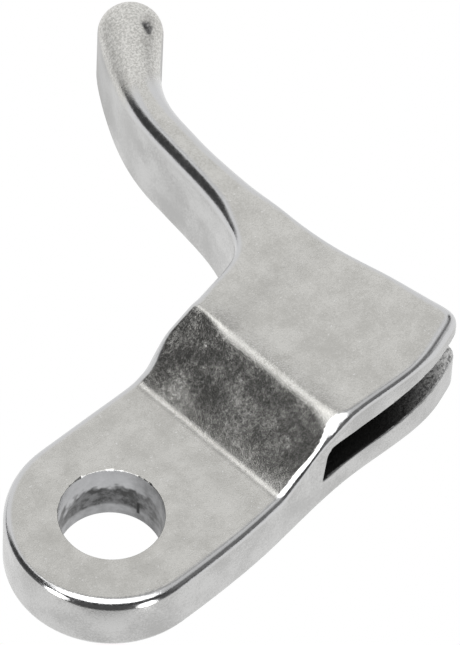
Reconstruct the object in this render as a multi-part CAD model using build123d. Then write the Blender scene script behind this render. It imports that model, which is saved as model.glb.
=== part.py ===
from build123d import *
import os
from math import cos, radians, sin

# Small control lever with a finger horn, in millimetres.
# Frame: origin on the pivot axis at the underside, +Z up along the pivot axis,
# +X from the pivot eye along the link to the slotted plate, +Y to the side of the finger horn.

# Driving dimensions
BORE_R = 4.0             # bore of the bush, for an 8 mm shoulder screw
BUSH_R = 5.0             # outside of the bush
RUNNING_GAP = 0.02       # radial clearance of the eye on the bush
BUSH_EDGE = 0.12         # chamfer inside the bush's two ends

EYE_R = 8.05             # round end, and half the width of the link
EYE_T = 5.6              # thickness of the eye
PLATE_T = 8.85           # thickness of the plate and the horn

STEP_FOOT_X = 9.6        # where the sloped step leaves the eye face, on the link's centre line
STEP_CREST_X = 16.5      # where it meets the plate face
STEP_SKEW = 3.5          # degrees, the step's turn about Z
STEP_FOOT_R = 2.5
STEP_CREST_R = 2.5

TOP_R = 0.7              # polished top edges
UNDER_R = 0.6            # polished bottom edges

SLOT_X0 = 15.1           # closed end of the cable slot on the outer side
SLOT_Z = 2.7             # height of the lower cheek at that end
SLOT_GAP = 3.4           # space between the cheeks
SLOT_TILT = 1.7          # degrees, the slot's rise towards the end
SLOT_INNER_Y = 2.6       # where the slot stops, across the plate
SLOT_CORNER_R = 3.0

SOCKET_X = 23.0          # blind socket for a barrel nipple, open to the underside
SOCKET_Y = -1.6
SOCKET_R = 3.1
SOCKET_DEPTH = 6.9

# Stations of the horn's outer half: centre x, centre y, heading in degrees, width, edge radius
HORN_STATIONS = [
    (25.58, 20.0, 86.0, 3.00, TOP_R),
    (25.85, 23.0, 81.5, 3.05, 0.80),
    (26.60, 25.9, 70.0, 3.35, 1.05),
    (27.85, 28.3, 58.5, 3.95, 1.45),
    (29.25, 30.3, 50.0, 4.65, 1.95),
    (30.75, 32.1, 46.0, 5.16, 2.45),
]


def plan_outline():
    """Plan outline of the lever, from the eye round to the flat where the horn's stations begin."""
    x, y, heading, width, _ = HORN_STATIONS[0]
    along = (cos(radians(heading)), sin(radians(heading)))
    horn_out = (x + along[1] * width / 2, y - along[0] * width / 2)
    horn_in = (x - along[1] * width / 2, y + along[0] * width / 2)
    side_end = (28.3, -6.05)
    side_heading = (0.93, 0.37)
    end_start = (30.35, -3.6)
    end_heading = (-0.23, 0.97)
    corner_in = (23.25, 13.6)
    corner_out = (18.9, 9.4)
    with BuildLine() as line:
        ThreePointArc((0, EYE_R), (-EYE_R, 0), (0, -EYE_R))
        Spline(
            (0, -EYE_R), (8.5, -7.75), (14.0, -7.05), (18.5, -6.7), (23.8, -6.78), side_end,
            tangents=[(1, 0), side_heading],
        )
        Spline(side_end, (30.35, -5.0), end_start, tangents=[side_heading, end_heading])
        Spline(
            end_start, (28.9, 1.6), (27.45, 7.5), (27.1, 13.0), horn_out,
            tangents=[end_heading, along],
        )
        Line(horn_out, horn_in)
        Spline(horn_in, (23.85, 17.0), corner_in, tangents=[(-along[0], -along[1]), (-0.3, -0.95)])
        Spline(corner_in, (21.95, 10.55), corner_out, tangents=[(-0.3, -0.95), (-0.98, -0.2)])
        Spline(
            corner_out, (15.5, 8.9), (13.0, 8.8), (10.6, 8.25), (7.0, EYE_R), (0, EYE_R),
            tangents=[(-0.98, -0.2), (-1, 0)],
        )
    return make_face(line.line)


def step_cutter():
    """Everything above the eye face and the sloped step, as one extrusion across the link."""
    past_eye, past_end, above = -40, 60, PLATE_T + 5
    with BuildSketch(Plane.XZ) as profile:
        with BuildLine():
            FilletPolyline(
                (past_eye, above), (past_eye, EYE_T), (STEP_FOOT_X, EYE_T),
                (STEP_CREST_X, PLATE_T), (past_end, PLATE_T), (past_end, above),
                radius=[0, 0, STEP_FOOT_R, STEP_CREST_R, 0, 0],
                close=True,
            )
        make_face()
    return extrude(profile.sketch, amount=past_end, both=True).rotate(Axis.Z, STEP_SKEW)


def blank():
    """The lever up to the horn's first station, with its polished edges."""
    solid = extrude(plan_outline(), amount=PLATE_T) - step_cutter()
    curved = solid.edges().filter_by(lambda edge: edge.geom_type != GeomType.LINE)
    solid = fillet(curved.filter_by(lambda edge: edge.bounding_box().min.Z > EYE_T - 0.01), TOP_R)
    curved = solid.edges().filter_by(lambda edge: edge.geom_type != GeomType.LINE)
    return fillet(curved.filter_by(lambda edge: edge.bounding_box().max.Z < 0.01), UNDER_R)


def horn_section(x, y, heading, width, edge_r):
    """Upright section of the horn at one station, with its top at PLATE_T."""
    plane = Plane(
        origin=(x, y, 0),
        x_dir=(sin(radians(heading)), -cos(radians(heading)), 0),
        z_dir=(-cos(radians(heading)), -sin(radians(heading)), 0),
    )
    half = width / 2
    under_r = min(edge_r - TOP_R + UNDER_R, 1.6)
    with BuildSketch(plane) as section:
        with BuildLine():
            FilletPolyline(
                (-half, 0), (half, 0), (half, PLATE_T), (-half, PLATE_T),
                radius=[under_r, under_r, edge_r, edge_r],
                close=True,
            )
        make_face()
    return section.sketch


def horn_end():
    """The outer half of the horn: a loft through the stations, closed by a round end."""
    sections = [horn_section(*station) for station in HORN_STATIONS]
    x, y, heading, width, _ = HORN_STATIONS[-1]
    outer_half = Pos(x, y, 0) * Rot(0, 0, heading) * Pos(0, -width / 2, 0) * Box(1, width, 3 * PLATE_T)
    cap = revolve(sections[-1] & outer_half, Axis((x, y, 0), (0, 0, 1)), 180)
    return loft(sections) + cap


def slot_cutter():
    """The space between the cheeks, open to the outer side and the end."""
    outer = 40
    with BuildSketch() as plan:
        with BuildLine():
            FilletPolyline(
                (SLOT_X0, -outer), (SLOT_X0, SLOT_INNER_Y), (outer, SLOT_INNER_Y), (outer, -outer),
                radius=[0, SLOT_CORNER_R, 0, 0],
                close=True,
            )
        make_face()
    slab = extrude(plan.sketch, amount=SLOT_GAP)
    return Pos(SLOT_X0, 0, SLOT_Z) * Rot(0, -SLOT_TILT, 0) * Pos(-SLOT_X0, 0, 0) * slab


def lever_body():
    """The one-piece lever."""
    solid = blank() + horn_end()
    solid -= slot_cutter()
    solid -= Pos(SOCKET_X, SOCKET_Y, 0) * Cylinder(SOCKET_R, 2 * SOCKET_DEPTH)
    solid -= Cylinder(BUSH_R + RUNNING_GAP, 4 * EYE_T)
    return solid


def pivot_bush():
    """Plain bush in the eye, flush with both faces."""
    sleeve = Pos(0, 0, EYE_T / 2) * (Cylinder(BUSH_R, EYE_T) - Cylinder(BORE_R, EYE_T))
    bore_ends = sleeve.edges().filter_by(GeomType.CIRCLE).filter_by(lambda edge: edge.radius < BUSH_R - 0.1)
    return chamfer(bore_ends, BUSH_EDGE)


os.makedirs("parts", exist_ok=True)
export_step(lever_body(), "parts/lever_body.step")
export_step(pivot_bush(), "parts/pivot_bush.step")
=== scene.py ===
from math import cos, pi, radians, sin

import bmesh
import bpy
import numpy as np
from mathutils import Matrix, Vector


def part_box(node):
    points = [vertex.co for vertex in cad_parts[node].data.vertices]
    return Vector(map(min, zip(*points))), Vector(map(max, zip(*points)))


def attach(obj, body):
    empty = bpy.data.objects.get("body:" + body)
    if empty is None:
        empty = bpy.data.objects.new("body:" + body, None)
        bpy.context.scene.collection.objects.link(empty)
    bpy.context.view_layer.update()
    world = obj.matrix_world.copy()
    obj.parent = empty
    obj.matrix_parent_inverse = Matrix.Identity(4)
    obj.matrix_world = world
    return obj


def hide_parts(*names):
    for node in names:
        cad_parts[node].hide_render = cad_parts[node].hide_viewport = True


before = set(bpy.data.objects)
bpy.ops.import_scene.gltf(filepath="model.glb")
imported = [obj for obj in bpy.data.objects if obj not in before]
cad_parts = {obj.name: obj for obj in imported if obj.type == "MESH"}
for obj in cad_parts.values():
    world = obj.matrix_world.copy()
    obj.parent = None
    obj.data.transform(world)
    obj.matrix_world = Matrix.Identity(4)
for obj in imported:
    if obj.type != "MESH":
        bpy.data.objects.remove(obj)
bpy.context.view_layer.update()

# Small polished alloy lever: a round eye with a bush, a sloped step, a slotted plate and a finger horn.
# Shapes are worked out in millimetres in the frame's own axes and scaled to metres when a mesh is made.
MM = 0.001

# Casting, apart from its plan outline, which is the CAD node's own
EYE_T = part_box("pivot_bush")[1].z / MM       # thickness of the eye
PLATE_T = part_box("lever_body")[1].z / MM     # thickness of the plate and the horn
BUSH_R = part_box("pivot_bush")[1].x / MM      # outside of the bush
RUNNING_GAP = 0.02                           # radial clearance of the eye on the bush
STEP_FOOT_X, STEP_CREST_X = 9.85, 16.5       # where the sloped step starts and ends
STEP_SKEW = radians(3.5)                     # its turn about Z
STEP_SLOPE = (PLATE_T - EYE_T) / (STEP_CREST_X - STEP_FOOT_X)
FOOT_BLEND, CREST_BLEND = 0.42, 0.62         # half lengths of the bends at its two ends
EYE_EDGE, PLATE_EDGE, HORN_EDGE = 0.62, 0.52, 0.95   # width of the rounded upper edge, in plan
END_EDGE = 0.9                               # the same at the free end of the plate
STEP_EDGE = 0.42                             # the same along the slope, where it is left keen
CORNER_EDGE = 1.25                           # and where the crest runs into the right side
EDGE_DROP, CORNER_DROP = 1.35, 0.45          # how much further the rounding reaches down than across
UNDER_R = 0.6                                # rounding of the lower edge
BUFFED_TO_Y = 26.5                           # the horn's edges are buffed up to here
HORN_TIP = (30.75, 32.1)                     # centre of the horn's ball end
HORN_TIP_R, HORN_UNDER_R = 2.45, 1.6         # edge radii there, above and below
SLOT_X, SLOT_INNER_Y = 15.15, 2.6            # closed ends of the cable slot
SLOT_CORNER_R = 3.0
SLOT_LIP_R = 0.15
SOCKET_XY, SOCKET_R, SOCKET_DEPTH = (23.0, -1.6), 3.1, 6.9
PIT_XY, PIT_LENGTH, PIT_WIDTH, PIT_DEPTH = (31.15, 30.4), 0.7, 0.46, 0.5
CREST_CORNER = (16.5, -6.5)                  # where the crest runs out into the right side
LEVEL_BELOW_SLOT = 2.2                       # height of the section that gives the plan outline

# Bush
BORE_R, BORE_EDGE = 4.0, 0.03                # bore, and the chamfer at its two ends
ROUND_FACES, BORE_RISES = 192, 24            # faces round it and round the eye's bore, and up its bore
SEAM_TURN = 17                               # degrees, where its seam is: a short dark mark in the bore

# Mesh of the casting
CELL = 0.175         # grid of the surface net
OUTLINE_CELL = 0.2                           # grid of the plan's distance field
COLLAR = 0.55                                # ring of flat face that is meshed apart, round the eye's bore


# ---------------------------------------------------------------- plan outline of the casting

def section_ring(node, height):
    """The outer ring of a CAD node's section at one height, as points in order, in millimetres."""
    cut = bmesh.new()
    cut.from_mesh(node.data)
    bmesh.ops.remove_doubles(cut, verts=cut.verts, dist=1e-7)
    everything = cut.verts[:] + cut.edges[:] + cut.faces[:]
    bmesh.ops.bisect_plane(
        cut, geom=everything, dist=1e-8, plane_co=(0, 0, height * MM), plane_no=(0, 0, 1),
        clear_inner=True, clear_outer=True,
    )
    rings = []
    unseen = set(cut.verts)
    for vert in cut.verts:
        ring = []
        while vert in unseen:
            unseen.discard(vert)
            ring.append((vert.co.x / MM, vert.co.y / MM))
            onward = [edge.other_vert(vert) for edge in vert.link_edges]
            vert = next((other for other in onward if other in unseen), vert)
        if ring:
            rings.append(np.array(ring))
    cut.free()
    return max(rings, key=lambda points: np.ptp(points, axis=0).prod())


def evenly_spaced(ring, spacing):
    """A closed ring again, with its points evenly spaced and lightly smoothed."""
    closed = np.vstack([ring, ring[:1]])
    along = np.concatenate([[0], np.cumsum(np.hypot(*np.diff(closed, axis=0).T))])
    stations = np.linspace(0, along[-1], int(along[-1] / spacing), endpoint=False)
    points = np.column_stack([np.interp(stations, along, closed[:, axis]) for axis in (0, 1)])
    for _ in range(3):
        points = (np.roll(points, 1, 0) + 2 * points + np.roll(points, -1, 0)) / 4
    return points


def signed_distance(x, y, ring):
    """Distance of plan points from a ring, less than zero inside it."""
    step = np.roll(ring, -1, 0) - ring
    nearest = np.full(x.shape, np.inf)
    inside = np.zeros(x.shape, bool)
    for (ax, ay), (sx, sy) in zip(ring, step):
        share = np.clip(((x - ax) * sx + (y - ay) * sy) / (sx * sx + sy * sy), 0, 1)
        nearest = np.minimum(nearest, np.hypot(x - ax - share * sx, y - ay - share * sy))
        if sy:
            spans = (ay > y) != (ay + sy > y)
            inside ^= spans & (x < ax + (y - ay) * sx / sy)
    return np.where(inside, -nearest, nearest)


class PlanField:
    """Values on a square grid in plan, read back anywhere as a smooth cubic B-spline."""

    def __init__(self, low, high, cell, function):
        self.low = np.array(low)
        self.cell = cell
        counts = np.ceil((np.array(high) - low) / cell).astype(int) + 1
        x = low[0] + cell * np.arange(counts[0])[:, None]
        y = low[1] + cell * np.arange(counts[1])[None, :]
        self.values = function(x + 0 * y, y + 0 * x)

    def __call__(self, x, y):
        x, y = np.broadcast_arrays(x, y)
        column, x_weights = self.basis((x - self.low[0]) / self.cell, self.values.shape[0])
        row, y_weights = self.basis((y - self.low[1]) / self.cell, self.values.shape[1])
        total = np.zeros(x.shape)
        for i, x_weight in enumerate(x_weights):
            for j, y_weight in enumerate(y_weights):
                total += x_weight * y_weight * self.values[column + i, row + j]
        return total

    @staticmethod
    def basis(place, count):
        """First grid index of the four that reach a place, and their weights."""
        place = np.clip(place, 1, count - 2.001)
        index = np.floor(place).astype(int)
        t = place - index
        weights = (
            (1 - t) ** 3 / 6,
            (3 * t ** 3 - 6 * t ** 2 + 4) / 6,
            (-3 * t ** 3 + 3 * t ** 2 + 3 * t + 1) / 6,
            t ** 3 / 6,
        )
        return index - 1, weights


# ---------------------------------------------------------------- the casting as a distance field

def smooth_step(value, low, high):
    """0 below low and 1 above high, with a smooth rise between."""
    share = np.clip((value - low) / (high - low), 0, 1)
    return share * share * (3 - 2 * share)


def bend(distance, slope, half_length):
    """Height of a line that bends up from level to a slope, with a parabola at the bend."""
    inside = np.clip(distance + half_length, 0, 2 * half_length)
    return slope * (inside ** 2 / (4 * half_length) + np.maximum(distance - half_length, 0))


def both(a, b, radius):
    """Distance field of the space inside two fields, with the edge between them rounded."""
    beyond = np.hypot(np.maximum(a + radius, 0), np.maximum(b + radius, 0))
    return np.minimum(np.maximum(a, b), -radius) + beyond


def along_step(x, y):
    """Distance of plan points from the pivot, in the direction in which the step rises."""
    return x * cos(STEP_SKEW) + y * sin(STEP_SKEW)


def top_height(x, y):
    """Height of the upper face: the eye, the sloped step and the plate.

    The step turns up in a keen bend with a longer, weaker one after it, and it levels off the same way.
    """
    place = along_step(x, y)
    left = smooth_step(y, 4.5, 7.5)
    right = smooth_step(-y, 3.6, 6.6)
    past_foot = place - STEP_FOOT_X
    foot_keen = bend(past_foot, 0.8 * STEP_SLOPE, FOOT_BLEND)
    foot_easy = bend(past_foot - 1.2, 0.2 * STEP_SLOPE, 1.4)
    past_crest = place - STEP_CREST_X - 0.15 * left
    crest_blend = CREST_BLEND + 0.6 * right - 0.42 * left
    crest_keen = bend(past_crest + 0.12, 0.72 * STEP_SLOPE, crest_blend)
    crest_easy = bend(past_crest - 0.549, 0.28 * STEP_SLOPE, crest_blend + 0.75)
    return np.minimum(EYE_T + foot_keen + foot_easy - crest_keen - crest_easy, PLATE_T)


def tip_share(x, y):
    """0 along the horn and 1 at its ball end."""
    reach = np.hypot(x - HORN_TIP[0], y - HORN_TIP[1])
    return smooth_step(-reach, -12.5, 0.3) * smooth_step(y, 17, 24)


def near(x, y, centre, reach):
    """1 at a place in plan and fading to 0 around it."""
    return np.exp(-((x - centre[0]) ** 2 + (y - centre[1]) ** 2) / reach ** 2)


def crest_corner(x, y):
    """1 where the crest runs out into the right side, and fading to 0 around it."""
    return near(x, y, CREST_CORNER, 1.1)


def edge_drop(x, y):
    """How much further the upper rounding reaches down than across."""
    drop = 1 + (EDGE_DROP - 1) * (1 - tip_share(x, y))
    return drop + (CORNER_DROP - EDGE_DROP) * crest_corner(x, y)


def edge_radius(x, y):
    """Width of the rounded upper edge, which the buffing has left uneven."""
    radius = EYE_EDGE + (PLATE_EDGE - EYE_EDGE) * smooth_step(x, 16, 19)
    radius = radius + (END_EDGE - radius) * smooth_step(x, 24, 28) * smooth_step(-y, -2, 3)
    radius = radius + (HORN_EDGE - radius) * smooth_step(y, 10.5, 14.5)
    keen = smooth_step(np.abs(y), 2, 5) * smooth_step(x, 12.2, 13.6) * smooth_step(-x, -16.8, -15.4)
    radius = radius + (STEP_EDGE - radius) * keen
    radius = radius + (CORNER_EDGE - PLATE_EDGE) * crest_corner(x, y)
    foot_left, eye_left = (11.0, 8.2), (-7.8, -0.5)
    radius = radius + 0.3 * near(x, y, foot_left, 1.0) - 0.2 * near(x, y, eye_left, 3.0)
    return radius + (HORN_TIP_R - HORN_EDGE) * tip_share(x, y) ** 1.4


def under_radius(x, y):
    """Radius of the rounded lower edge."""
    return UNDER_R + (HORN_UNDER_R - UNDER_R) * tip_share(x, y)


def slot_field(x, y, z):
    """The cable slot between the cheeks, which opens wider towards the end of the plate."""
    floor = 2.9 - 0.05 * smooth_step(x, 15.5, 19) + 0.93 * smooth_step(x, 21, 29.5)
    roof = 6.4 - 0.3 * smooth_step(x, 15.5, 19) + 0.65 * smooth_step(x, 20, 28)
    plan = both(SLOT_X - x + 0.14 * (z - floor), y - SLOT_INNER_Y, SLOT_CORNER_R)
    return both(both(plan, floor - z, 0.25), z - roof, 0.7)


def socket_field(x, y, z):
    """The blind socket for a cable nipple, open to the underside."""
    wall = np.hypot(x - SOCKET_XY[0], y - SOCKET_XY[1]) - SOCKET_R
    return both(wall, z - SOCKET_DEPTH, 0.3)


def pit_field(x, y, z):
    """Small casting pit in the horn's end: a ragged drop, wide at one end."""
    turn = radians(50)
    u = (x - PIT_XY[0]) * cos(turn) + (y - PIT_XY[1]) * sin(turn)
    v = (y - PIT_XY[1]) * cos(turn) - (x - PIT_XY[0]) * sin(turn)
    width = PIT_WIDTH * (1 + 0.5 * u / PIT_LENGTH)
    ragged = 0.03 * np.sin(9 * u + 2) + 0.03 * np.sin(13 * v + 7 * u)
    shape = np.sqrt((u / PIT_LENGTH) ** 2 + (v / width) ** 2 + ((z - PLATE_T) / PIT_DEPTH) ** 2)
    return (shape - 1) * PIT_WIDTH + ragged


def casting_field(x, y, z):
    """Distance field of the whole casting apart from the bore, in millimetres."""
    wall = outline(x, y)
    place = along_step(x, y)
    on_step = smooth_step(place, STEP_FOOT_X - 0.5, STEP_FOOT_X + 0.5)
    on_step = on_step * smooth_step(-place, -STEP_CREST_X - 0.6, -STEP_CREST_X + 0.6)
    lean = 1 / np.sqrt(1 + (STEP_SLOPE * on_step) ** 2)
    field = both(wall, (z - top_height(x, y)) * lean / edge_drop(x, y), edge_radius(x, y))
    field = both(field, -z, under_radius(x, y))
    field = both(field, -slot_field(x, y, z), SLOT_LIP_R)
    field = both(field, -socket_field(x, y, z), SLOT_LIP_R)
    return both(field, -pit_field(x, y, z), 0.06)


def casting_gradient(points, reach=0.01):
    """Gradient of the casting's field at scattered points."""
    slopes = []
    for axis in range(3):
        shift = np.zeros(3)
        shift[axis] = reach
        ahead = casting_field(*(points + shift).T)
        behind = casting_field(*(points - shift).T)
        slopes.append((ahead - behind) / (2 * reach))
    return np.column_stack(slopes)


# ---------------------------------------------------------------- meshing

def surface_net(field, low, high, cell):
    """Vertices and quads of the zero surface of a field, one vertex for each grid cell that it crosses."""
    counts = [int(np.ceil((b - a) / cell)) + 1 for a, b in zip(low, high)]
    x, y, z = (a + cell * np.arange(n) for a, n in zip(low, counts))
    values = field(x[:, None, None], y[None, :, None], z[None, None, :]).astype(np.float32)
    inside = values < 0
    corners = [(i, j, k) for i in (0, 1) for j in (0, 1) for k in (0, 1)]
    filled = sum(
        inside[i:counts[0] - 1 + i, j:counts[1] - 1 + j, k:counts[2] - 1 + k].astype(np.int8)
        for i, j, k in corners
    )
    cells = np.argwhere((filled > 0) & (filled < 8))
    number = np.full(filled.shape, -1, np.int32)
    number[tuple(cells.T)] = np.arange(len(cells))
    total = np.zeros((len(cells), 3))
    crossings = np.zeros(len(cells))
    for a in corners:
        for axis in range(3):
            if a[axis]:
                continue
            b = tuple(c + (n == axis) for n, c in enumerate(a))
            value_a = values[tuple((cells + a).T)]
            value_b = values[tuple((cells + b).T)]
            crossed = (value_a < 0) != (value_b < 0)
            share = np.where(crossed, value_a / np.where(crossed, value_a - value_b, 1), 0)
            place = np.tile(np.array(a, float), (len(cells), 1))
            place[:, axis] = share
            total[crossed] += place[crossed]
            crossings += crossed
    points = np.array(low) + cell * (cells + total / crossings[:, None])
    quads = []
    for axis in range(3):
        u, v = (axis + 1) % 3, (axis + 2) % 3
        start = np.take(inside, range(counts[axis] - 1), axis)
        end = np.take(inside, range(1, counts[axis]), axis)
        for leaving in (True, False):
            edges = np.argwhere((start & ~end) if leaving else (~start & end))
            around = []
            for du, dv in ((0, 0), (-1, 0), (-1, -1), (0, -1)):
                neighbour = edges.copy()
                neighbour[:, u] += du
                neighbour[:, v] += dv
                around.append(number[tuple(neighbour.T)])
            quads.append(np.column_stack(around if leaving else around[::-1]))
    return points, np.vstack(quads)


def settle(points, rounds=5):
    """Points moved along the gradient until they lie on the casting's surface."""
    for _ in range(rounds):
        slope = casting_gradient(points)
        size = np.maximum((slope ** 2).sum(1), 0.2)
        step = casting_field(*points.T) / size
        points = points - np.clip(step, -CELL, CELL)[:, None] * slope
    return points


def mesh_from(name, points, faces):
    """A mesh in metres from points in millimetres."""
    mesh = bpy.data.meshes.new(name)
    mesh.from_pydata((points * MM).tolist(), [], faces.tolist() if isinstance(faces, np.ndarray) else faces)
    mesh.update()
    return mesh


def circle(edit, radius, height):
    """New vertices on a circle about the pivot axis."""
    turns = [2 * pi * n / ROUND_FACES for n in range(ROUND_FACES)]
    return [edit.verts.new((radius * cos(t) * MM, radius * sin(t) * MM, height * MM)) for t in turns]


def joined_in_ring(edit, verts):
    """New edges from each vertex to the next, and from the last to the first."""
    return [edit.edges.new((a, b)) for a, b in zip(verts, verts[1:] + verts[:1])]


def cut_bore(mesh, radius, collar):
    """Opens a true round bore through the eye, whose rim and wall are exact."""
    edit = bmesh.new()
    edit.from_mesh(mesh)
    tag = edit.faces.layers.int.new("bore_wall")
    reach = (radius + collar) * MM
    doomed = [face for face in edit.faces if all(v.co.xy.length < reach for v in face.verts)]
    bmesh.ops.delete(edit, geom=doomed, context="FACES")
    rims = []
    for height in (0, EYE_T):
        level = [e for e in edit.edges if e.is_boundary and abs(e.verts[0].co.z / MM - height) < 0.3]
        rim = joined_in_ring(edit, circle(edit, radius, height))
        bmesh.ops.triangle_fill(edit, use_beauty=True, use_dissolve=False, edges=level + rim)
        rims += rim
    wall = bmesh.ops.bridge_loops(edit, edges=rims)["faces"]
    for face in wall:
        face[tag] = 1
    bmesh.ops.recalc_face_normals(edit, faces=edit.faces)
    edit.to_mesh(mesh)
    edit.free()


def corner_normals(mesh):
    """Normals for each face corner: the field's own, upright on the collar, and inward on the bore's wall."""
    points = vertex_points(mesh)
    normals = casting_gradient(points, 0.02)
    normals /= np.maximum(np.linalg.norm(normals, axis=1), 1e-9)[:, None]
    flat = np.hypot(points[:, 0], points[:, 1]) < BUSH_R + RUNNING_GAP + COLLAR
    normals[flat] = 0
    normals[flat, 2] = np.sign(points[flat, 2] - EYE_T / 2)
    corner_vertex = np.zeros(len(mesh.loops), int)
    mesh.loops.foreach_get("vertex_index", corner_vertex)
    corners = normals[corner_vertex]
    wall = np.zeros(len(mesh.polygons), int)
    mesh.attributes["bore_wall"].data.foreach_get("value", wall)
    sizes = np.zeros(len(mesh.polygons), int)
    mesh.polygons.foreach_get("loop_total", sizes)
    on_wall = np.repeat(wall, sizes) == 1
    inward = -points[corner_vertex[on_wall]] * (1, 1, 0)
    corners[on_wall] = inward / np.linalg.norm(inward, axis=1)[:, None]
    return corners


def vertex_points(mesh):
    """A mesh's vertices in millimetres."""
    points = np.zeros(len(mesh.vertices) * 3)
    mesh.vertices.foreach_get("co", points)
    return points.reshape(-1, 3) / MM


def paint_masks(mesh):
    """Vertex masks for the finish, from 0 to 1.

    buffed: rounded edges; side: upright walls; step: the slope; blunt: the horn's end;
    slot mask: inside the slot, the socket and the pit, for their as-cast finish and their painted shade;
    outer: how near that is to the free end, where the painted shade there lightens and the walls are painted
    darker.
    """
    points = vertex_points(mesh)
    x, y, z = points.T
    slope = casting_gradient(points)
    lean = np.abs(slope[:, 2]) / np.maximum(np.linalg.norm(slope, axis=1), 1e-9)
    wall = outline(x, y)
    radius = np.where(z > EYE_T / 2, edge_radius(x, y), under_radius(x, y))
    side = smooth_step(-lean, -0.35, -0.05)
    buffed = smooth_step(wall + radius, -0.08, 0.12) * (1 - side)
    buffed = buffed * smooth_step(-y, -BUFFED_TO_Y - 1, -BUFFED_TO_Y + 1)
    hidden = np.minimum(slot_field(x, y, z), socket_field(x, y, z))
    # Inside the slot, socket and pit: their rough as-cast finish, and also where painted shade goes.
    as_cast_and_shade = smooth_step(-np.minimum(hidden, pit_field(x, y, z)), -0.12, 0.0)
    # Nearness to the free end and the outer wall: the painted shade in the slot lightens with it, and the
    # walls are painted darker with it.
    outer = smooth_step(x, 20, 31.5) ** 2 * smooth_step(wall, -4.0, -0.5)
    outer = np.where(z > PLATE_T - 1.5, 0.25, outer)
    blunt = smooth_step(tip_share(x, y), 0.25, 0.7)
    place = along_step(x, y)
    step = smooth_step(place, STEP_FOOT_X - 0.7, STEP_FOOT_X)
    step = step * smooth_step(-place, -STEP_CREST_X - 1, -STEP_CREST_X)
    step = step * (1 - side) * (0.75 + 0.25 * smooth_step(y, -3, 7))
    masks = {
        "buffed": buffed, "side": side, "step": step, "blunt": blunt, "as_cast_and_shade": as_cast_and_shade, "outer": outer,
    }
    for name, values in masks.items():
        layer = mesh.attributes.new(name, "FLOAT", "POINT")
        layer.data.foreach_set("value", values.astype(np.float32))


def make_casting():
    """The lever body, meshed from its distance field."""
    low, high = (np.array(corner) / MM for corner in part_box("lever_body"))
    margin = 2.2 * CELL
    points, quads = surface_net(casting_field, low - margin, high + margin, CELL)
    mesh = mesh_from("lever_casting", settle(points), quads)
    cut_bore(mesh, BUSH_R + RUNNING_GAP, COLLAR)
    mesh.vertices.foreach_set("co", (np.clip(vertex_points(mesh), low, high) * MM).ravel())
    paint_masks(mesh)
    mesh.polygons.foreach_set("use_smooth", [True] * len(mesh.polygons))
    mesh.normals_split_custom_set(corner_normals(mesh).tolist())
    piece = bpy.data.objects.new("lever_casting", mesh)
    bpy.context.scene.collection.objects.link(piece)
    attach(piece, "lever")
    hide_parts("lever_body")
    return piece


# ---------------------------------------------------------------- materials

class Nodes:
    """A node tree with short calls for the few node kinds that are used here."""

    def __init__(self, tree):
        self.tree = tree
        tree.nodes.clear()

    def add(self, kind, inputs=None, **settings):
        node = self.tree.nodes.new(kind)
        for key, value in settings.items():
            setattr(node, key, value)
        for key, value in (inputs or {}).items():
            self.feed(node.inputs[key], value)
        return node

    def feed(self, socket, value):
        if isinstance(value, bpy.types.NodeSocket):
            self.tree.links.new(value, socket)
        else:
            socket.default_value = value

    def math(self, operation, a, b=0.0, c=0.0):
        return self.add("ShaderNodeMath", {0: a, 1: b, 2: c}, operation=operation).outputs[0]

    def dot(self, vector, axis):
        node = self.add("ShaderNodeVectorMath", {0: vector, 1: axis}, operation="DOT_PRODUCT")
        return node.outputs["Value"]

    def remap(self, value, low, high, to_low=0.0, to_high=1.0):
        inputs = {"Value": value, "From Min": low, "From Max": high, "To Min": to_low, "To Max": to_high}
        return self.add("ShaderNodeMapRange", inputs, interpolation_type="SMOOTHSTEP").outputs[0]

    def mix(self, share, a, b):
        node = self.add("ShaderNodeMix", data_type="FLOAT")
        for index, value in ((0, share), (2, a), (3, b)):
            self.feed(node.inputs[index], value)
        return node.outputs[0]

    def mix_colour(self, share, a, b):
        node = self.add("ShaderNodeMix", data_type="RGBA")
        for index, value in ((0, share), (6, a), (7, b)):
            self.feed(node.inputs[index], value)
        return node.outputs[2]

    def noise(self, place, size, detail=2.0, roughness=0.5, distortion=0.0):
        """Noise whose blobs are about so many millimetres across."""
        inputs = {
            "Vector": place, "Scale": 1 / (size * MM), "Detail": detail,
            "Roughness": roughness, "Distortion": distortion,
        }
        return self.add("ShaderNodeTexNoise", inputs).outputs[0]

    def mask(self, name):
        return self.add("ShaderNodeAttribute", attribute_name=name).outputs["Fac"]

    def bump(self, height, distance):
        inputs = {"Height": height, "Distance": distance * MM, "Strength": 1.0}
        return self.add("ShaderNodeBump", inputs).outputs[0]


def grey(level, warmth=0.0):
    """A grey of one brightness, a little yellow above zero warmth and a little blue below it."""
    return (level * (1 + 0.3 * warmth), level, level * (1 - warmth), 1.0)


def heading(turn, up):
    """Unit vector at so many degrees from +X towards +Y, and so many above the horizon."""
    turn, up = radians(turn), radians(up)
    return Vector((cos(turn) * cos(up), sin(turn) * cos(up), sin(up)))


def below(nodes, value, limit, soft):
    """1 where a value is under its limit and 0 over it, with a soft edge."""
    return nodes.remap(value, limit - soft, limit + soft, 1.0, 0.0)


def finish_material(nodes, **sockets):
    """Ends a material with a metal shader."""
    shader = nodes.add("ShaderNodeBsdfPrincipled", {"Metallic": 1.0, **sockets})
    nodes.add("ShaderNodeOutputMaterial", {"Surface": shader.outputs[0]})


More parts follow.
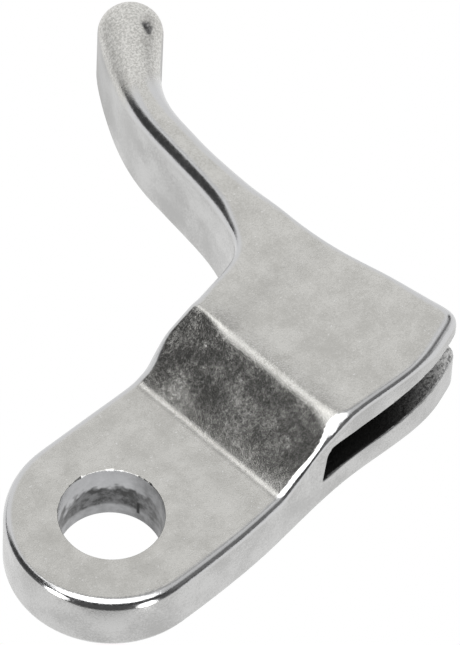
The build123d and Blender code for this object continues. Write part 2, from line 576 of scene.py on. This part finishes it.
def tumbled_face(nodes, place):
    """Colour, roughness and relief of a flat tumbled face: cloudy, finely mottled and a little nicked."""
    small_clouds = nodes.noise(place, 1.9, 4.0, 0.62)
    clouds = nodes.math("MULTIPLY_ADD", nodes.noise(place, 8.0, 2.0), 0.4, small_clouds)
    mottle = nodes.noise(place, 0.4, 4.0, 0.7)
    grain = nodes.noise(place, 0.1, 3.0, 0.7)
    tone = nodes.math("MULTIPLY_ADD", clouds, 0.45, nodes.math("MULTIPLY", mottle, 0.25))
    tone = nodes.math("MULTIPLY_ADD", grain, 0.5, tone)
    colour = nodes.mix_colour(nodes.remap(tone, 0.56, 0.82), grey(0.495, 0.05), grey(0.635, 0.04))
    nicks = nodes.remap(nodes.noise(place, 0.22, 1.0), 0.7, 0.78, 0.0, 0.6)
    colour = nodes.mix_colour(nicks, colour, grey(0.8))
    gloss = nodes.remap(mottle, 0.3, 0.7, 0.13, 0.2)
    relief = nodes.math("MULTIPLY_ADD", mottle, 0.6, nodes.math("MULTIPLY", grain, 0.4))
    return colour, gloss, relief


def tumbled_alloy():
    """Casting finish: satin tumbled faces, buffed edges, a speckled slope, and rough as-cast metal in the
    slot, socket and pit, painted with shade there: near-black deep inside, lighter towards the free end; the
    upright walls are painted darker towards the free end.
    """
    material = bpy.data.materials.new("tumbled_alloy")
    material.use_nodes = True
    nodes = Nodes(material.node_tree)
    place = nodes.add("ShaderNodeTexCoord").outputs["Object"]
    buffed = nodes.mask("buffed")
    side = nodes.mask("side")
    as_cast_and_shade = nodes.mask("as_cast_and_shade")

    satin, satin_gloss, relief = tumbled_face(nodes, place)
    speckle = nodes.remap(nodes.noise(place, 0.2, 4.0, 0.75), 0.38, 0.62)
    speckled = nodes.mix_colour(speckle, grey(0.44, 0.05), grey(0.88, 0.03))
    satin = nodes.mix_colour(nodes.math("MULTIPLY", nodes.mask("blunt"), 0.6), satin, speckled)
    blotches = nodes.math("ADD", nodes.noise(place, 3.5, 2.0), nodes.noise(place, 0.16, 4.0, 0.7))
    side_colour = nodes.mix_colour(nodes.remap(blotches, 0.8, 1.2), grey(0.41, 0.015), grey(0.56, 0.01))
    # Painted shade: the upright walls darker towards the free end.
    end_shade = nodes.math("MULTIPLY", nodes.mask("outer"), 0.5)
    side_colour = nodes.mix_colour(end_shade, side_colour, grey(0.3, 0.01))
    colour = nodes.mix_colour(side, satin, side_colour)
    colour = nodes.mix_colour(buffed, colour, grey(0.6, -0.012))
    rough_grain = nodes.noise(place, 0.3, 3.0, 0.7)
    raw = nodes.mix_colour(nodes.remap(rough_grain, 0.35, 0.6), grey(0.25), grey(0.8, 0.01))
    # Painted shade in the slot, socket and pit: near-black deep inside, lighter grained metal towards the
    # free end and the openings.
    cast_in_shade = nodes.mix_colour(nodes.mask("outer"), grey(0.022, 0.02), raw)
    colour = nodes.mix_colour(as_cast_and_shade, colour, cast_in_shade)

    gloss = nodes.mix(side, satin_gloss, 0.22)
    gloss = nodes.mix(nodes.mask("blunt"), gloss, 0.42)
    specks = nodes.math("MULTIPLY_ADD", nodes.noise(place, 2.0, 2.0), 0.55, nodes.noise(place, 0.3, 4.0, 0.8))
    gloss = nodes.mix(nodes.mask("step"), gloss, nodes.remap(specks, 0.64, 1.0, 0.12, 0.28))
    gloss = nodes.mix(buffed, gloss, nodes.remap(relief, 0.4, 0.6, 0.12, 0.24))
    gloss = nodes.mix(as_cast_and_shade, gloss, 0.55)

    height = nodes.math("MULTIPLY", relief, nodes.mix(buffed, 1.0, 0.6))
    height = nodes.math("MULTIPLY", height, nodes.mix(nodes.mask("blunt"), 1.0, 1.8))
    height = nodes.math("MULTIPLY_ADD", nodes.math("MULTIPLY", as_cast_and_shade, rough_grain), 6.0, height)
    normal = nodes.bump(height, 0.013)
    finish_material(nodes, **{"Base Color": colour, "Roughness": gloss, "Normal": normal})
    return material


def bush_metal():
    """Bush finish: ends tumbled with the casting, and a blotchy bore with painted shade: dark in its middle,
    lighter towards both ends, and darker again on one side.
    """
    material = bpy.data.materials.new("bush_metal")
    material.use_nodes = True
    nodes = Nodes(material.node_tree)
    place = nodes.add("ShaderNodeTexCoord").outputs["Object"]
    bore = nodes.mask("bore")
    satin, satin_gloss, relief = tumbled_face(nodes, place)
    stains = nodes.noise(place, 2.2, 3.0, 0.6)
    smears = nodes.noise(place, 0.8, 3.0, 0.6)
    height = nodes.add("ShaderNodeSeparateXYZ", {0: place}).outputs[2]
    ragged = nodes.math("MULTIPLY_ADD", nodes.math("SUBTRACT", stains, 0.5), 4.5 * MM, height)
    upper = nodes.remap(ragged, 3.0 * MM, 3.7 * MM)
    lower = nodes.remap(height, 1.0 * MM, 1.4 * MM, 0.6, 0.0)
    # Painted shade in the bore: its middle dark and its two ends lighter, the ends darker again on one side;
    # the smears and stains are the metal's own blotches.
    shade = nodes.remap(nodes.dot(place, heading(-30, 0)), 1.5 * MM, 3.8 * MM, 1.0, 0.3)
    light_at_ends = nodes.math("MULTIPLY", nodes.math("MAXIMUM", upper, lower), shade)
    dark = nodes.mix_colour(nodes.remap(smears, 0.35, 0.65), grey(0.05), grey(0.17, -0.02))
    light = nodes.mix_colour(smears, grey(0.34, -0.02), grey(0.56, -0.02))
    shaded_bore = nodes.mix_colour(light_at_ends, dark, light)
    across_seam = nodes.math("ABSOLUTE", nodes.dot(place, heading(SEAM_TURN + 90, 0)))
    seam = nodes.remap(height, 0.7 * MM, 0.9 * MM)
    seam = nodes.math("MULTIPLY", seam, below(nodes, height, 2.1 * MM, 0.1 * MM))
    seam = nodes.math("MULTIPLY", seam, below(nodes, across_seam, 0.12 * MM, 0.06 * MM))
    seam = nodes.math("MULTIPLY", seam, nodes.remap(nodes.dot(place, heading(SEAM_TURN, 0)), 0, 1 * MM))
    shaded_bore = nodes.mix_colour(seam, shaded_bore, grey(0.01))
    colour = nodes.mix_colour(bore, satin, shaded_bore)
    gloss = nodes.mix(bore, satin_gloss, 0.35)
    normal = nodes.bump(relief, 0.01)
    finish_material(nodes, **{"Base Color": colour, "Roughness": gloss, "Normal": normal})
    return material


def chip_depth(turn):
    """Depth of the small chips in the bore's upper rim, which are on the side of the plate."""
    ragged = sin(9 * turn + 0.5) + 0.7 * sin(22 * turn + 1) + 0.5 * sin(41 * turn)
    return 0.08 * max(0, cos(turn - radians(60))) * max(0, ragged)


def make_bush():
    """The bush in the eye: a lathed sleeve, flush with both faces, with its bore's ends broken."""
    top = EYE_T
    outer = BUSH_R + 0.9 * RUNNING_GAP
    rise = [BORE_EDGE + (top - 2 * BORE_EDGE) * n / BORE_RISES for n in range(BORE_RISES + 1)]
    points = []
    for n in range(ROUND_FACES):
        turn = 2 * pi * n / ROUND_FACES
        chip = chip_depth(turn)
        profile = [(BORE_R + BORE_EDGE, 0.0)] + [(BORE_R, z) for z in rise[:-1]]
        profile += [(BORE_R, rise[-1] - chip), (BORE_R + BORE_EDGE + chip, top), (outer, top), (outer, 0.0)]
        points += [(r * cos(turn), r * sin(turn), z) for r, z in profile]
    size = len(profile)
    faces = []
    for n in range(ROUND_FACES):
        here, there = n * size, (n + 1) % ROUND_FACES * size
        for k in range(size):
            after = (k + 1) % size
            faces.append((here + k, here + after, there + after, there + k))
    mesh = mesh_from("pivot_sleeve", np.array(points), faces)
    edit = bmesh.new()
    edit.from_mesh(mesh)
    bmesh.ops.recalc_face_normals(edit, faces=edit.faces)
    edit.to_mesh(mesh)
    edit.free()
    inside = [1.0 if np.hypot(x, y) < BORE_R + BORE_EDGE / 2 else 0.0 for x, y, z in points]
    mesh.attributes.new("bore", "FLOAT", "POINT").data.foreach_set("value", inside)
    mesh.polygons.foreach_set("use_smooth", [True] * len(mesh.polygons))
    mesh.set_sharp_from_angle(angle=radians(30))
    piece = bpy.data.objects.new("pivot_sleeve", mesh)
    bpy.context.scene.collection.objects.link(piece)
    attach(piece, "bush")
    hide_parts("pivot_bush")
    return piece


# ---------------------------------------------------------------- studio

VIEW_TURN = 44.93           # degrees, the view's heading from +Y towards +X
VIEW_DOWN = 54.18           # degrees below the horizon
VIEW_ROLL = 3.08
VIEW_TARGET = (19.06, 7.78, 4.42)
VIEW_DISTANCE = 577.5
VIEW_LENS = 425.7

# Brightness, where 1 is white to the camera
SOFTBOX, SWEEP, ROOM = 2.8, 0.96, 0.06
TABLE, TABLE_EDGE = 1.0, 0.1
KICKER = 4.0


def make_camera():
    """A long lens that looks down on the eye's end of the lever."""
    turn, down = radians(VIEW_TURN), radians(VIEW_DOWN)
    forward = Vector((sin(turn) * cos(down), cos(turn) * cos(down), -sin(down)))
    data = bpy.data.cameras.new("camera")
    data.lens = VIEW_LENS
    data.clip_start = 0.01
    camera = bpy.data.objects.new("camera", data)
    aim = forward.to_track_quat("-Z", "Y").to_matrix() @ Matrix.Rotation(radians(VIEW_ROLL), 3, "Z")
    place = Vector(VIEW_TARGET) * MM - forward * VIEW_DISTANCE * MM
    camera.matrix_world = Matrix.Translation(place) @ aim.to_4x4()
    bpy.context.scene.collection.objects.link(camera)
    bpy.context.scene.camera = camera


def make_world():
    """Dark room with a softbox over the camera and a pale sweep behind the object, and white to the camera.

    The softbox is a rectangle on a level ceiling, so its limits are in distance over height. The sweep and
    its wing are upright, so their limits are in compass heading, with a dark gap between the two.
    """
    world = bpy.data.worlds.new("studio")
    bpy.context.scene.world = world
    world.use_nodes = True
    nodes = Nodes(world.node_tree)
    direction = nodes.add("ShaderNodeTexCoord").outputs["Generated"]
    up = nodes.dot(direction, (0, 0, 1))
    height = nodes.math("MAXIMUM", up, 0.01)
    across = nodes.math("DIVIDE", nodes.dot(direction, (1, 0, 0)), height)
    along = nodes.math("DIVIDE", nodes.dot(direction, (0, 1, 0)), height)
    skewed = nodes.math("MULTIPLY_ADD", across, -0.16, along)

    over = nodes.remap(up, 0.41, 0.49)
    softbox = nodes.math("MULTIPLY", below(nodes, across, 0.1, 0.05), below(nodes, skewed, 0.26, 0.05))
    softbox = nodes.math("MULTIPLY", nodes.math("MULTIPLY", softbox, over), SOFTBOX)
    glow = nodes.math("MULTIPLY", nodes.remap(across, -0.42, 0.0), below(nodes, across, 0.1, 0.05))
    glow = nodes.math("MULTIPLY", glow, below(nodes, skewed, 0.47, 0.025))
    glow = nodes.math("MULTIPLY", nodes.math("MULTIPLY", glow, over), 0.6 * SOFTBOX)

    level = nodes.math("SQRT", nodes.math("SUBTRACT", 1.0001, nodes.math("MULTIPLY", up, up)))
    facing = nodes.math("DIVIDE", nodes.dot(direction, heading(38, 0)), level)
    sweep = nodes.remap(facing, 0.06, 0.34, 0.0, SWEEP)
    sweep = nodes.math("MULTIPLY", sweep, nodes.remap(up, 0.845, 0.9, 1.0, 0.5))
    gap = nodes.math("DIVIDE", nodes.dot(direction, heading(-18, 0)), level)
    gap = nodes.math("MULTIPLY", nodes.remap(gap, 0.87, 0.94), nodes.remap(up, 0.2, 0.34))
    gap = nodes.math("MULTIPLY", gap, nodes.remap(up, 0.62, 0.74, 0.85, 0.0))
    sweep = nodes.math("MULTIPLY", sweep, nodes.math("SUBTRACT", 1.0, gap))
    aside = nodes.math("DIVIDE", nodes.dot(direction, heading(-45, 0)), level)
    wing = nodes.math("MULTIPLY", nodes.remap(aside, 0.7, 0.9), nodes.remap(up, 0.5, 0.68, 0.2, 0.75 * SWEEP))
    pale = nodes.math("MAXIMUM", sweep, wing)
    lamps = nodes.math("MAXIMUM", softbox, glow)
    total = nodes.math("MAXIMUM", lamps, nodes.math("MAXIMUM", pale, ROOM))

    seen = nodes.add("ShaderNodeLightPath").outputs["Is Camera Ray"]
    light = nodes.add("ShaderNodeBackground", {"Color": (1, 1, 1, 1), "Strength": total}).outputs[0]
    plain = nodes.add("ShaderNodeBackground", {"Color": (1, 1, 1, 1), "Strength": 1.0}).outputs[0]
    surface = nodes.add("ShaderNodeMixShader", {0: seen, 1: light, 2: plain}).outputs[0]
    nodes.add("ShaderNodeOutputWorld", {"Surface": surface})


def make_kicker(name, place, aim, width, height):
    """Small lamp beside the near end, which puts a glint on its rounded edge."""
    data = bpy.data.lights.new(name, "AREA")
    data.shape = "ELLIPSE"
    data.size = width * MM
    data.size_y = height * MM
    data.energy = KICKER * pi * data.size * data.size_y
    lamp = bpy.data.objects.new(name, data)
    lamp.location = Vector(place) * MM
    lamp.rotation_euler = (Vector(aim) - Vector(place)).to_track_quat("-Z", "Y").to_euler()
    lamp.visible_camera = False
    bpy.context.scene.collection.objects.link(lamp)


def make_floor():
    """White table top that glows: plain white to the camera, and otherwise a painted pool of light, so what
    the metal mirrors of it is bright near the object and dim towards the camera.
    """
    half = 600
    corners = [(-half, -half, 0), (half, -half, 0), (half, half, 0), (-half, half, 0)]
    mesh = mesh_from("floor", np.array(corners, float), [(0, 1, 2, 3)])
    material = bpy.data.materials.new("glowing_white_table")
    material.use_nodes = True
    nodes = Nodes(material.node_tree)
    place = nodes.add("ShaderNodeTexCoord").outputs["Object"]
    # Painted pool of light on the table, for what the metal mirrors: bright near the object, dim towards the
    # camera and far to the left.
    lit_towards_camera = below(nodes, nodes.dot(place, -heading(45, 0)), 11.4 * MM, 0.8 * MM)
    lit_to_the_left = below(nodes, nodes.dot(place, (-1, 0, 0)), 16.5 * MM, 2.0 * MM)
    lit = nodes.math("MULTIPLY", lit_towards_camera, lit_to_the_left)
    strength = nodes.mix(lit, TABLE_EDGE, TABLE)
    seen = nodes.add("ShaderNodeLightPath").outputs["Is Camera Ray"]
    glow = nodes.add("ShaderNodeEmission", {"Strength": nodes.mix(seen, strength, 1.0)})
    nodes.add("ShaderNodeOutputMaterial", {"Surface": glow.outputs[0]})
    mesh.materials.append(material)
    floor = bpy.data.objects.new("floor", mesh)
    floor.location.z = -0.02 * MM
    bpy.context.scene.collection.objects.link(floor)


outline_ring = evenly_spaced(section_ring(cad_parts["lever_body"], LEVEL_BELOW_SLOT), OUTLINE_CELL)
outline = PlanField(
    outline_ring.min(0) - 1.5, outline_ring.max(0) + 1.5, OUTLINE_CELL,
    lambda x, y: signed_distance(x, y, outline_ring),
)
make_casting().data.materials.append(tumbled_alloy())
make_bush().data.materials.append(bush_metal())
make_camera()
make_world()
make_floor()
make_kicker("kicker_left", (-12.5, -2.6, 4.0), (-7.6, -3.2, 4.9), 3.6, 4.6)
make_kicker("kicker_right", (-3.8, -11.8, 2.6), (-2.9, -7.5, 4.7), 2.6, 4.2)
bpy.context.scene.view_settings.view_transform = "Standard"
